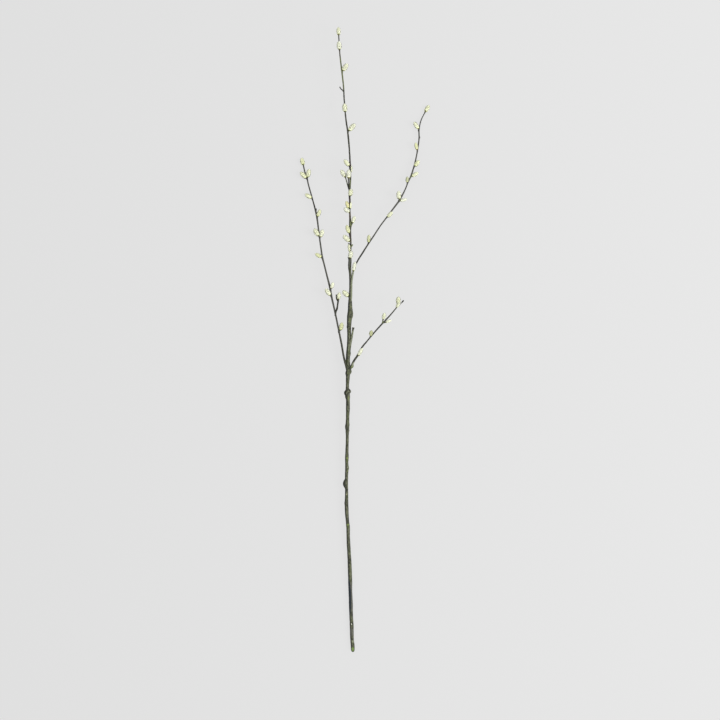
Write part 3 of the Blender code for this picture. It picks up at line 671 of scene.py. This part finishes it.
class Skin:
    """The bark of a shoot as rings of points: how far each stands out, and how it is painted."""

    def __init__(self, rows, sides, step, seed):
        self.line = Line(rows, step)
        self.seed = seed
        self.turn = np.arange(sides) / sides * math.tau
        shape = (len(self.line.along), sides)
        self.relief = np.zeros(shape)
        self.paint = {name: np.zeros(shape) for name in PAINTS}
        thin = np.clip((THICK_RADIUS - self.line.radius) / (THICK_RADIUS - THIN_RADIUS), 0.0, 1.0)
        self.paint["thin"] += thin[:, None]
        # Painted shade: the bark's colour is darkened on the side away from the lamp.
        self.paint["shade"] += np.clip(np.cos(self.turn - math.radians(PAINTED_SHADE_TURN)), 0.0, 1.0)

    def near(self, along, turn, length, width):
        """The rings near a place on the bark, and how near each of their points is: 1 there, 0 far off."""
        low, high = np.searchsorted(self.line.along, (along - length / 2.0, along + length / 2.0))
        rings = slice(low, high + 1)
        up = (self.line.along[rings, None] - along) / (length / 2.0)
        arc = wrapped(self.turn - math.radians(turn)) * self.line.radius[rings, None]
        return rings, np.clip(1.0 - up**2 - (arc / (width / 2.0)) ** 2, 0.0, 1.0)

    def swell(self, along, turn, length, width, rise):
        rings, share = self.near(along, turn, length, width)
        self.relief[rings] += rise * share**SWELL_POWER

    def stain(self, paint, along, turn, length, width, strength):
        rings, share = self.near(along, turn, length, width)
        values = self.paint[paint]
        values[rings] = np.maximum(values[rings], strength * np.minimum(STAIN_FILL * share, 1.0))

    def add_stains(self, stains):
        """Stains given by their heights up the twig."""
        for paint, rows in stains.items():
            for height, *rest in rows:
                self.stain(paint, self.line.along_at(height), *rest)

    def ring_scar(self, along, rise):
        """Three fine ridges round a shoot, where a year's growth or a branch began."""
        for offset in SCAR_RIDGES:
            past = (self.line.along - along - offset) / SCAR_RIDGE_WIDTH
            self.relief += rise * np.exp(-(past**2))[:, None]

    def flare(self, rise, reach):
        """A collar where the shoot leaves the one that bears it."""
        self.relief += rise * np.exp(-self.line.along / reach)[:, None]

    def roughen(self, depth, spacing):
        """Fine ridges along the bark, and pores as far apart as the spacing."""
        share = self.turn / math.tau
        along = self.line.along[:, None]
        for number, (part, count, length) in enumerate(RIDGES):
            self.relief += depth * part * noise(self.seed + number, share * count, along / length, count)
        self.add_pores(spacing)

    def add_pores(self, spacing):
        """Pale corky pores that stand out a little, and are smaller on a thin shoot."""
        rng = np.random.default_rng(self.seed + len(RIDGES))
        end, radius = self.line.along[-1], self.line.radius.mean()
        finest = min(1.0, radius / THICK_RADIUS)
        for _ in range(int(end * math.tau * radius / spacing**2)):
            along, turn = rng.uniform(1.0, end), rng.uniform(0.0, 360.0)
            length, width, rise = finest * rng.uniform(*PORE_SIZES) * np.array(PORE)
            self.swell(along, turn, length, width, rise)
            strength = rng.uniform(*PORE_STRENGTHS)
            self.stain("pale", along, turn, PORE_PALE * length, PORE_PALE * width, strength)

    def add_cushion(self, along, turn):
        """The swelling that carries a bud or a catkin, with the scar of last year's leaf under it."""
        for offset, *swelling in CUSHION_SWELLS:
            self.swell(along + offset, turn, *swelling)
        for paint, offset, *stain in CUSHION_STAINS:
            self.stain(paint, along + offset, turn, *stain)

    def close_tip(self):
        """Rounds off the end of a shoot that bears nothing."""
        line = self.line
        radius = line.radius[-1]
        past = np.clip((line.along - (line.along[-1] - radius)) / radius, 0.0, TIP_SHARE)
        line.radius = line.radius * np.sqrt(1.0 - past**2)

    def add_to(self, pile, columns, slanted=False):
        """Adds the bark to a pile, and returns its rings of points."""
        line = self.line
        cosine, sine = np.cos(self.turn), np.sin(self.turn)
        outward = line.right[:, None] * cosine[:, None] + line.top[:, None] * sine[:, None]
        reach = line.radius[:, None] + self.relief
        grid = line.centre[:, None] + outward * reach[..., None]
        if slanted:
            grid = slanted_at_foot(line, grid)
        grain = polar(line.radius[:, None], self.turn, line.along[:, None])
        pile.add_grid(grid, {**self.paint, "grain": grain}, columns)
        return grid


def slanted_at_foot(line, grid):
    """The first rings of the stem, drawn on so that the first lies in the slanted cut."""
    slope = math.tan(math.radians(FOOT_CUT_ANGLE))
    moved = grid.copy()
    above = (moved[..., 2] - FLOOR_GAP) / FLOOR_EASE
    moved[..., 2] = FLOOR_GAP + FLOOR_EASE * np.log1p(np.exp(above))
    begins = (moved[0, :, 2] - FOOT_CUT_HEIGHT) / slope
    rings = line.along < FOOT_CUT_REACH
    left = 1.0 - line.along[rings, None] / FOOT_CUT_REACH
    moved[rings, :, 1] += (begins - moved[0, :, 1]) * left**2
    return moved


class Catkin:
    """A catkin's place and size. Its own numbers run outward, across and along it, in millimetres."""

    def __init__(self, foot, axis, outer, root, length, width, ripe, tone, seed):
        across = unit(np.cross(outer, axis))
        self.axes = np.stack((np.cross(axis, across), across, axis))
        self.foot, self.length, self.width = foot, length, width
        self.root = self.axes @ (root - foot)
        self.red, self.dark, self.dull = tone
        self.ripe, self.seed = ripe, seed
        rng = np.random.default_rng(seed)
        self.bend = rng.normal(0.0, CATKIN_BEND, 2)
        self.turned = rng.uniform(0.0, math.tau)

    def placed(self, local):
        """Points of the catkin's own as points of the twig, with the catkin's slight bend."""
        height = np.clip(local[..., 2:] / self.length, 0.0, CATKIN_BEND_TO)
        local = local.copy()
        local[..., :2] += self.bend * height**2 * self.length
        return self.foot + local @ self.axes

    def outline(self, height):
        """Half the width of the fur at a share of the length."""
        heights, widths = zip(*FUR_OUTLINE)
        return np.interp(height, heights, widths) * self.width

    def body(self, height):
        """Half the width of the body under the fur at a share of the length."""
        near_foot = np.clip((CORE_FOOT_TO - height) / CORE_FOOT_TO, 0.0, 1.0)
        near_tip = np.clip((height - CORE_TIP_FROM) / (1.0 - CORE_TIP_FROM), 0.0, 1.0)
        share = CORE_SHARE - CORE_FOOT_LESS * near_foot - CORE_TIP_LESS * near_tip**CORE_TIP_POWER
        return share * self.outline(height)


def side_catkin(line, row, tone, seed):
    height, turn, lean, off, length, width, ripe = row
    middle, direction, radius = line.at(line.along_at(height))
    outer = side_of(direction, turn)
    slope = math.radians(lean)
    axis = direction * math.cos(slope) + outer * math.sin(slope)
    foot = middle + outer * (radius + off)
    root = middle - direction * SIDE_ROOT_SETBACK * (radius + off)
    return Catkin(foot, axis, outer, root, length, width, ripe, tone, seed)


def end_catkin(line, row, tone, seed):
    lean, length, width, ripe = row
    middle, direction = line.centre[-1], line.direction[-1]
    slope = math.radians(lean)
    axis = unit(direction * math.cos(slope) + side_of(direction, 0) * math.sin(slope))
    root = middle - direction * END_ROOT_DEPTH
    return Catkin(middle, axis, side_of(direction, 90), root, length, width, ripe, tone, seed)


def add_core(pile, catkin):
    """The body of a catkin under its fur, with the small bracts that the tufts grow from."""
    height = np.linspace(*CORE_SPAN, CORE_RINGS)[:, None]
    turn = (np.arange(CORE_SIDES) / CORE_SIDES * math.tau)[None]
    bracts = noise(catkin.seed + 1, turn / math.tau * BRACTS_ROUND, height * BRACTS_ALONG, BRACTS_ROUND)
    radius = catkin.body(height) * (1.0 + BRACT_RISE * bracts)
    radius[-1] *= CORE_END
    flat = np.ones(radius.shape)
    local = polar(radius, turn, height * catkin.length)
    paints = {
        "along": flat * height,
        "ripe": flat * catkin.ripe,
        "dull": flat * catkin.dull,
        "grain": local,
    }
    pile.add_grid(catkin.placed(local), paints)


def rim_of(catkin, turn):
    """How far up a catkin its bud scale comes at some turns, as shares of its length."""
    cosine = np.cos(turn)
    rim = RIM_HEIGHT + RIM_SLANT * cosine + RIM_POINT * np.clip(cosine, 0.0, 1.0) ** 4
    waves = noise(catkin.seed + 3, (turn % math.tau) / math.tau * RIM_WAVES, 0.5, RIM_WAVES)
    return rim + RIM_WAVER * waves


def add_hairs(pile, catkin, place, places):
    """The fur of a catkin: fine hairs that rise from its body and lie towards its tip, a flat side out."""
    rng = np.random.default_rng(catkin.seed + 2)
    number = int(HAIRS_PER_AREA * catkin.length * catkin.width)
    tuft = np.arange(number) % TUFTS
    tuft_turn = catkin.turned + tuft * GOLDEN_TURN
    turn = tuft_turn + rng.uniform(-TUFT_TURN, TUFT_TURN, number)
    low, high = HAIR_SPAN
    start = low + (high - low) * (tuft + 0.5) / TUFTS + rng.uniform(-TUFT_REACH, TUFT_REACH, number)
    start = np.clip(start, rim_of(catkin, turn) - HAIR_UNDER_RIM, HAIR_LAST)
    end = start + rng.uniform(*HAIR_REACH, number)
    end -= HAIR_END_HELD * np.clip(end - HAIR_END, 0.0, 1.0)
    gathered = tuft_turn + TUFT_GATHERED * (turn - tuft_turn)
    inner = catkin.body(start) - HAIR_SUNK
    outer = catkin.outline(end) * rng.uniform(*HAIR_OUT, number) + HAIR_TIP_OUT
    root = polar(inner, turn, start * catkin.length)
    tip = polar(outer, gathered, end * catkin.length)
    lies = unit(tip - root)
    radial = polar(1.0, turn, 0.0)
    aside = unit(np.cross(lies, radial))
    inward = np.cross(lies, aside)
    half = HAIR_WIDTH / 2.0 * rng.uniform(*HAIR_WIDTHS, number)[:, None]
    local = np.stack((root + half * aside, root + HAIR_KEEL * half * inward, root - half * aside, tip), 1)
    corners = np.array(((1, 0, 3), (2, 1, 3), (0, 2, 3), (0, 1, 2)))
    faces = (4 * np.arange(number)[:, None, None] + corners).reshape(-1, 3)
    shade = rng.uniform(0.0, 1.0, number)
    paints = {
        "along": np.tile((0.0, 0.0, 0.0, 1.0), number),
        "ripe": np.full(4 * number, catkin.ripe),
        "dull": np.full(4 * number, catkin.dull),
        "shade": np.repeat(shade, 4),
    }
    row = (place + HAIR_BAND[0] + HAIR_BAND[1] * shade)[:, None] / places
    across = row + np.array(SLIVER_ACROSS) / places
    on_map = np.stack((np.tile(SLIVER_ALONG, (number, 1)), across), -1).reshape(-1, 2)
    pile.facings.append(hair_facings(catkin, local[:, corners], radial, (start + end) / 2.0, rng))
    pile.add(catkin.placed(local.reshape(-1, 3)), [faces], [on_map[faces]], paints)


def hair_facings(catkin, shapes, radial, middle, rng):
    """The way that each hair's faces are shaded: a little their own, mostly that of the fur round them."""
    fall = catkin.outline(middle - FUR_SLOPE_STEP) - catkin.outline(middle + FUR_SLOPE_STEP)
    falls = fall / (2.0 * FUR_SLOPE_STEP * catkin.length)
    soft = radial + np.clip(falls, *FUR_SLOPES)[:, None] * UP
    soft = unit(unit(soft) + rng.normal(0.0, FUR_WAVER, soft.shape))
    own = unit(np.cross(shapes[:, :, 2] - shapes[:, :, 0], shapes[:, :, 1] - shapes[:, :, 0]))
    facing = unit(FUR_SOFTNESS * soft[:, None] + (1.0 - FUR_SOFTNESS) * own) @ catkin.axes
    return np.repeat(facing.reshape(-1, 3), 3, axis=0)


def add_scale(pile, catkin):
    """The bud scale at the foot of a catkin: a thin slanted cup, drawn in to its root inside the shoot."""
    turn = np.arange(SCALE_SIDES) / SCALE_SIDES * math.tau
    rim = rim_of(catkin, turn)
    rings = [catkin.root + polar(SCALE_ROOT_WIDTH / 2.0, turn, 0.0)]
    ups = [0.0]
    furrow = noise(catkin.seed + 4, turn / math.tau * SCALE_FURROWS, 0.5, SCALE_FURROWS)
    for up, out in SCALE_OUTSIDE + SCALE_INSIDE:
        depth = SCALE_FURROW_DEPTH * math.sin(math.pi * min(up, SCALE_TURNED_IN))
        radius = SCALE_SNUGNESS * catkin.outline(up * rim) + out + depth * furrow
        rings.append(polar(radius, turn, up * rim * catkin.length))
        ups.append(up)
    local = np.stack(rings)
    flat = np.ones(local.shape[:2])
    paints = {
        "up": flat * np.array(ups)[:, None],
        "red": flat * catkin.red,
        "dark": flat * catkin.dark,
        "grain": polar(SCALE_GRAIN_RADIUS, turn, local[..., 2]),
    }
    pile.add_grid(catkin.placed(local), paints)


def add_cut(pile, rim, facing, bark, old):
    """The wood of a cut: a thin round of it that lies on the bark's own end, inside a rim of bark."""
    middle = rim.mean(0)
    spokes = rim - middle
    inset = 1.0 - bark / np.linalg.norm(spokes, axis=1)
    face = np.linspace(CUT_EDGE, PITH / 2.0, CUT_ROUNDS)
    relief = CUT_RISE + YEAR_WAVE_RISE * np.sin(face * YEAR_WAVE) - PITH_DEPTH * (face < PITH)
    shares = np.concatenate(([CUT_BACK_SHARE, CUT_SIDE_SHARE, 1.0], face))
    depth = np.concatenate(([CUT_BACK, CUT_BACK, CUT_EDGE_RISE], relief))
    grid = middle + shares[:, None, None] * (spokes * inset[:, None]) + depth[:, None, None] * facing
    flat = np.ones(grid.shape[:2])
    low, high = grid[..., 1].min(), grid[..., 1].max()
    paints = {
        "across": flat * shares[:, None],
        "up": (grid[..., 1] - low) / (high - low),
        "old": flat * old,
        "grain": grid,
    }
    pile.add_grid(grid, paints)


def linear(code):
    """A web colour as the linear numbers that a shader takes."""
    parts = [int(code[place : place + 2], 16) / 255.0 for place in (1, 3, 5)]
    return (*[part / 12.92 if part <= 0.04045 else ((part + 0.055) / 1.055) ** 2.4 for part in parts], 1.0)


class Look:
    """A material as it is put together, node by node."""

    def __init__(self, name):
        self.material = bpy.data.materials.new(name)
        self.material.use_nodes = True
        self.tree = self.material.node_tree
        self.shader = self.tree.nodes["Principled BSDF"]

    def put(self, kind, inputs, output=0, **settings):
        """Adds a node with its settings and inputs, and returns one of its outputs."""
        node = self.tree.nodes.new(kind)
        for setting, value in settings.items():
            setattr(node, setting, value)
        for socket, value in inputs.items():
            self.give(node.inputs[socket], value)
        return node.outputs[output]

    def give(self, socket, value):
        """Links a socket to another, or sets its number or colour."""
        if isinstance(value, bpy.types.NodeSocket):
            self.tree.links.new(value, socket)
        else:
            socket.default_value = value

    def paint(self, name):
        return self.put("ShaderNodeAttribute", {}, output="Fac", attribute_name=name)

    def grain(self, stretch):
        """The places of the surface in millimetres, drawn out along the shoot."""
        places = self.put("ShaderNodeAttribute", {}, output="Vector", attribute_name="grain")
        return self.put("ShaderNodeMapping", {"Vector": places, "Scale": (1.0, 1.0, 1.0 / stretch)})

    def noise(self, places, scale, detail):
        settings = {"Vector": places, "Scale": scale, "Detail": detail}
        return self.put("ShaderNodeTexNoise", settings, output="Fac")

    def between(self, value, low, high):
        """How far a value is from low to high, kept from 0 to 1."""
        return self.put("ShaderNodeMapRange", {"Value": value, "From Min": low, "From Max": high})

    def maths(self, way, inputs, clamp=False):
        return self.put("ShaderNodeMath", dict(enumerate(inputs)), operation=way, use_clamp=clamp)

    def sum(self, first, second):
        return self.maths("ADD", (first, second))

    def times(self, first, second):
        """One value times another, kept from 0 to 1."""
        return self.maths("MULTIPLY", (first, second), clamp=True)

    def mix(self, share, first, second):
        first = linear(first) if isinstance(first, str) else first
        second = linear(second) if isinstance(second, str) else second
        return self.put("ShaderNodeMix", {0: share, 6: first, 7: second}, output=2, data_type="RGBA")

    def over(self, colour, shade, share, most=1.0):
        """A colour with a shade laid over a share of it, and no more of the shade than the most."""
        return self.mix(self.times(share, most), colour, shade)

    def patch(self, name, ragged, edge):
        """A paint whose edges are broken up by a noise."""
        return self.between(self.sum(self.paint(name), ragged), 1.0 - edge, 1.0 + edge)

    def finish(self, colour, roughness, height=None, depth=0.0, **sockets):
        """Links the colour, roughness and bump to the shader, and sets its other numbers."""
        self.give(self.shader.inputs["Base Color"], colour)
        self.give(self.shader.inputs["Roughness"], roughness)
        if height is not None:
            bump = self.put("ShaderNodeBump", {"Strength": 1.0, "Distance": depth * MM, "Height": height})
            self.give(self.shader.inputs["Normal"], bump)
        for socket, value in sockets.items():
            self.shader.inputs[socket.replace("_", " ")].default_value = value
        return self.material


def bark_look():
    """Grey green bark with streaks, cracks, flecks and moss, shade painted darker on the side away from the
    lamp, and its painted marks.
    """
    look = Look("willow_bark")
    streaks = look.noise(look.grain(8.0), 1.15, 4.0)
    fine = look.noise(look.grain(3.0), 3.6, 3.0)
    mottle = look.noise(look.grain(2.2), 0.62, 4.0)
    patches = look.noise(look.grain(2.5), 0.17, 2.0)
    flecks = look.noise(look.grain(1.5), 2.4, 1.0)
    cracks = look.noise(look.grain(14.0), 2.3, 2.0)
    thin = look.paint("thin")
    tint = look.between(look.sum(streaks, mottle), 0.84, 1.16)
    old = look.mix(tint, "#191B15", "#585A46")
    young = look.mix(tint, "#141412", "#3D3D34")
    mossy = look.times(look.between(patches, 0.48, 0.70), look.between(thin, 1.3, 0.0))
    colour = look.mix(thin, old, young)
    colour = look.over(colour, "#3F4826", mossy, 0.50)
    # Painted shade: near black laid over the side away from the lamp.
    colour = look.over(colour, "#12140F", look.patch("shade", streaks, 0.30), 0.75)
    colour = look.over(colour, "#16170F", look.between(cracks, 0.60, 0.70), 0.50)
    colour = look.over(colour, "#7B7E68", look.between(flecks, 0.66, 0.74), 0.40)
    ragged = look.times(look.sum(fine, mottle), 0.5)
    for paint, (shade, most) in BARK_PAINTS.items():
        colour = look.over(colour, shade, look.patch(paint, ragged, 0.10), most)
    roughness = look.sum(0.50, look.times(fine, 0.34))
    height = look.sum(look.sum(streaks, mottle), look.times(fine, 0.5))
    return look.finish(colour, roughness, height, 0.16, Specular_IOR_Level=0.22)


def fur_look():
    """Silky hairs, paler at their tips, from silver white to yellow green and golden as they ripen."""
    look = Look("catkin_fur")
    ripe = look.paint("ripe")
    roots = look.mix(ripe, "#DDE1C2", "#CFD498")
    tips = look.mix(ripe, "#E7E9D8", "#DCDEB2")
    colour = look.mix(look.between(look.paint("along"), 0.0, 0.62), roots, tips)
    colour = look.over(colour, "#E8E8DE", look.paint("shade"), 0.20)
    colour = look.over(colour, "#E6DA9C", look.between(ripe, 1.0, 2.0))
    colour = look.over(colour, "#7F8460", look.paint("dull"), 0.70)
    return look.finish(colour, 0.60, Specular_IOR_Level=0.15, Sheen_Weight=0.30, Sheen_Roughness=0.5)


def core_look():
    """The catkin's body, which shows between the hairs, with its darker bracts."""
    look = Look("catkin_core")
    ripe = look.paint("ripe")
    specks = look.noise(look.grain(1.0), 1.6, 3.0)
    colour = look.mix(ripe, "#DCE0BC", "#CCD28E")
    colour = look.over(colour, "#A2AE60", look.between(specks, 0.52, 0.66), 0.20)
    colour = look.over(colour, "#D8C878", look.between(ripe, 1.0, 2.0))
    colour = look.over(colour, "#6F7450", look.paint("dull"), 0.70)
    return look.finish(colour, 0.75, specks, 0.12, Specular_IOR_Level=0.2)


def scale_look():
    """A smooth striped bud scale, green to red brown, darkest at its root."""
    look = Look("bud_scale")
    up = look.paint("up")
    stripes = look.noise(look.grain(5.0), 2.4, 3.0)
    striped = look.between(stripes, 0.35, 0.65)
    green = look.mix(striped, "#4A4E2A", "#868C50")
    brown = look.mix(striped, "#64401F", "#9A6A3A")
    colour = look.mix(look.paint("red"), green, brown)
    colour = look.over(colour, "#5C4A2A", look.between(up, 0.70, 1.0), 0.30)
    colour = look.over(colour, "#2C2D1E", look.between(up, 0.30, 0.0), 0.85)
    colour = look.over(colour, "#2A2418", look.paint("dark"), 0.75)
    roughness = look.sum(0.34, look.times(stripes, 0.24))
    return look.finish(colour, roughness, stripes, 0.10, Specular_IOR_Level=0.45)


def cut_look():
    """Wood across the grain: green and fresh with year rings, pith and inner bark, or old and weathered."""
    look = Look("cut_wood")
    across = look.paint("across")
    fibres = look.noise(look.grain(1.0), 4.5, 3.0)
    waver = look.sum(across, look.times(fibres, 0.10))
    years = look.maths("SINE", [look.maths("MULTIPLY_ADD", (waver, YEAR_WAVE, 0.5))])
    wood = look.mix(look.between(look.paint("up"), 0.0, 0.55), "#3E4F22", "#5F753D")
    wood = look.over(wood, "#717D4E", look.between(fibres, 0.35, 0.70), 0.50)
    wood = look.over(wood, "#4B602C", look.between(years, 0.2, 1.0), 0.22)
    wood = look.over(wood, "#456026", look.between(across, 0.84, 0.93))
    wood = look.over(wood, "#7F7A52", look.between(across, 0.14, 0.08))
    weathered = look.mix(look.between(fibres, 0.35, 0.65), "#4E493B", "#7D765F")
    colour = look.mix(look.paint("old"), wood, weathered)
    return look.finish(colour, 0.72, fibres, 0.08, Specular_IOR_Level=0.3)


def floor_look():
    """A plain pale floor that gives off most of its own light, a little more of it on the lamp's side."""
    look = Look("pale_floor")
    places = look.put("ShaderNodeNewGeometry", {}, output="Position")
    sideways = look.put("ShaderNodeSeparateXYZ", {"Vector": places}, output="X")
    span = {"From Min": -FLOOR_GLOW_REACH, "From Max": FLOOR_GLOW_REACH}
    glows = dict(zip(("To Min", "To Max"), FLOOR_GLOW))
    look.give(look.shader.inputs["Emission Color"], WHITE)
    glow = look.put("ShaderNodeMapRange", {"Value": sideways, **span, **glows})
    look.give(look.shader.inputs["Emission Strength"], glow)
    return look.finish((FLOOR_PALE, FLOOR_PALE, FLOOR_PALE, 1.0), 0.9, Specular_IOR_Level=0.0)


def tone_of(shoot, height):
    """How red and how dark a bud scale is, and how dull the fur over it. Most differ only a little."""
    usual = (height * 7 % 10) / 60.0, (height * 3 % 10) / 30.0
    return *SCALE_TONES.get((shoot, height), usual), DULL_FUR.get((shoot, height), 0.0)


def branch_skin(name, seed):
    """The bark of the stem or of a branch, with its knobs and marks and the cushions under its catkins."""
    sides, step, _ = FINENESS[name]
    skin = Skin(lifted(name), sides, step, seed)
    skin.roughen(*(STEM_BARK if name == "stem" else BRANCH_BARK))
    for height, turn, length, width, rise in KNOBS[name]:
        skin.swell(skin.line.along_at(height), turn, KNOB_REACH * length, KNOB_REACH * width, rise)
    for height, turn, *_ in SIDE_CATKINS[name]:
        skin.add_cushion(skin.line.along_at(height), turn)
    skin.add_stains(STAINS[name])
    if name == "stem":
        for height in YEAR_SCARS:
            skin.ring_scar(skin.line.along_at(height), YEAR_SCAR_RISE)
    else:
        skin.ring_scar(*BRANCH_SCAR)
        skin.flare(*BRANCH_COLLAR)
    return skin


def spur_skin(name, seed):
    """The bark of a spur or stalk. Only the stub's is as old as the stem's."""
    skin = Skin(SPURS[name], SPUR_SIDES, SPUR_STEP, seed)
    skin.paint["thin"][:] = STUB_THINNESS if name == "stub" else 1.0
    skin.flare(*SPUR_COLLAR)
    skin.roughen(*SPUR_BARK)
    skin.add_stains(STAINS.get(name, {}))
    return skin


def all_skins():
    """The bark of every shoot and spur, with all that stands out of it or marks it."""
    made = {}
    for number, name in enumerate(SHOOTS):
        made[name] = branch_skin(name, SEED + SEED_STEP * number)
    for number, name in enumerate(SPURS):
        made[name] = spur_skin(name, SPUR_SEED + SEED_STEP * number)
    for name in BARE_TIPS:
        made[name].close_tip()
    return made


def catkins_of(shoot, lines):
    """The catkins that grow on a shoot and on its spurs."""
    found = []
    for number, row in enumerate(SIDE_CATKINS[shoot]):
        seed = CATKIN_SEEDS * len(shoot) + SEED_STEP * number
        found.append(side_catkin(lines[shoot], row, tone_of(shoot, row[0]), seed))
    for name in [shoot, *SPURS_OF[shoot]]:
        if name in END_CATKINS:
            tone = tone_of(name, round(lines[name].centre[-1, 1]))
            seed = CATKIN_SEEDS * len(name) + END_CATKIN_SEED
            found.append(end_catkin(lines[name], END_CATKINS[name], tone, seed))
    return found


def add_bark(skins, bark):
    """Makes the bark, a piece for each shoot and one for all spurs. Returns its rings at the two cuts."""
    for name, (_, _, columns) in FINENESS.items():
        pile = Pile()
        rings = skins[name].add_to(pile, columns, slanted=name == "stem")
        pile.build(name + "_bark", bark, "bark")
        if name == "stem":
            foot_ring = rings[0]
    pile = Pile()
    for name in SPURS:
        rings = skins[name].add_to(pile, 1)
        if name == "stub":
            stub_ring = rings[-1]
    pile.build("spurs_bark", bark, "bark")
    return foot_ring, stub_ring


def add_cuts(foot_ring, stub_ring, stub_facing, cut):
    slope = math.radians(FOOT_CUT_ANGLE)
    foot_facing = np.array((0.0, -math.sin(slope), math.cos(slope)))
    pile = Pile()
    add_cut(pile, foot_ring[::-1], foot_facing, FOOT_RIM, 0.0)
    pile.build("foot_cut", cut, "cut_wood")
    pile = Pile()
    add_cut(pile, stub_ring, stub_facing, STUB_RIM, 1.0)
    pile.build("stub_cut", cut, "cut_wood")


def add_catkins(lines, core, fur, scale):
    """Makes the catkins, with their bodies and their fur as a piece each for every shoot and the leader."""
    groups = {shoot: catkins_of(shoot, lines) for shoot in SHOOTS}
    groups["leader"] = [catkin for catkin in groups["stem"] if catkin.foot[1] > LEADER_FROM]
    groups["stem"] = [catkin for catkin in groups["stem"] if catkin.foot[1] <= LEADER_FROM]
    scales = Pile()
    for name, catkins in groups.items():
        cores, hairs = Pile(), Pile()
        for place, catkin in enumerate(catkins):
            add_core(cores, catkin)
            add_hairs(hairs, catkin, place, len(catkins))
            add_scale(scales, catkin)
        cores.build(name + "_catkin_cores", core, "catkin_fur")
        hairs.build(name + "_catkin_fur", fur, "catkin_fur")
    scales.build("bud_scales", scale, "bud_scale")


def set_floor():
    bpy.ops.mesh.primitive_plane_add(size=FLOOR_SIDE)
    floor = bpy.context.object
    floor.name = "floor"
    floor.data.materials.append(floor_look())


def set_light():
    """The even light of a pale room, and one large soft lamp on the right."""
    world = bpy.data.worlds.new("pale_room")
    world.use_nodes = True
    tree = world.node_tree
    way = tree.nodes.new("ShaderNodeTexCoord")
    parts = tree.nodes.new("ShaderNodeSeparateXYZ")
    shade = tree.nodes.new("ShaderNodeMix")
    shade.data_type = "RGBA"
    shade.inputs[6].default_value = SKY_LOW
    shade.inputs[7].default_value = SKY_HIGH
    tree.links.new(way.outputs["Generated"], parts.inputs["Vector"])
    tree.links.new(parts.outputs["Z"], shade.inputs[0])
    tree.links.new(shade.outputs[2], tree.nodes["Background"].inputs["Color"])
    bpy.context.scene.world = world
    lamp_data = bpy.data.lights.new("soft_lamp", "AREA")
    lamp_data.size = LAMP_SIDE
    lamp_data.energy = LAMP_POWER
    lamp = linked("soft_lamp", lamp_data)
    lamp.location = LAMP_OVER
    lamp.rotation_euler = (-lamp.location).to_track_quat("-Z", "Y").to_euler()


def set_camera():
    """Straight above the twig, as in the photograph."""
    lens = bpy.data.cameras.new("camera")
    lens.lens = CAMERA_LENS
    lens.sensor_width = CAMERA_SENSOR
    camera = linked("camera", lens)
    camera.location = to_world(np.array(CAMERA_OVER))
    bpy.context.scene.camera = camera
    bpy.context.scene.view_settings.view_transform = "Standard"


def main():
    set_camera()
    set_floor()
    set_light()
    skins = all_skins()
    lines = {name: skin.line for name, skin in skins.items()}
    foot_ring, stub_ring = add_bark(skins, bark_look())
    add_cuts(foot_ring, stub_ring, lines["stub"].direction[-1], cut_look())
    add_catkins(lines, core_look(), fur_look(), scale_look())


main()
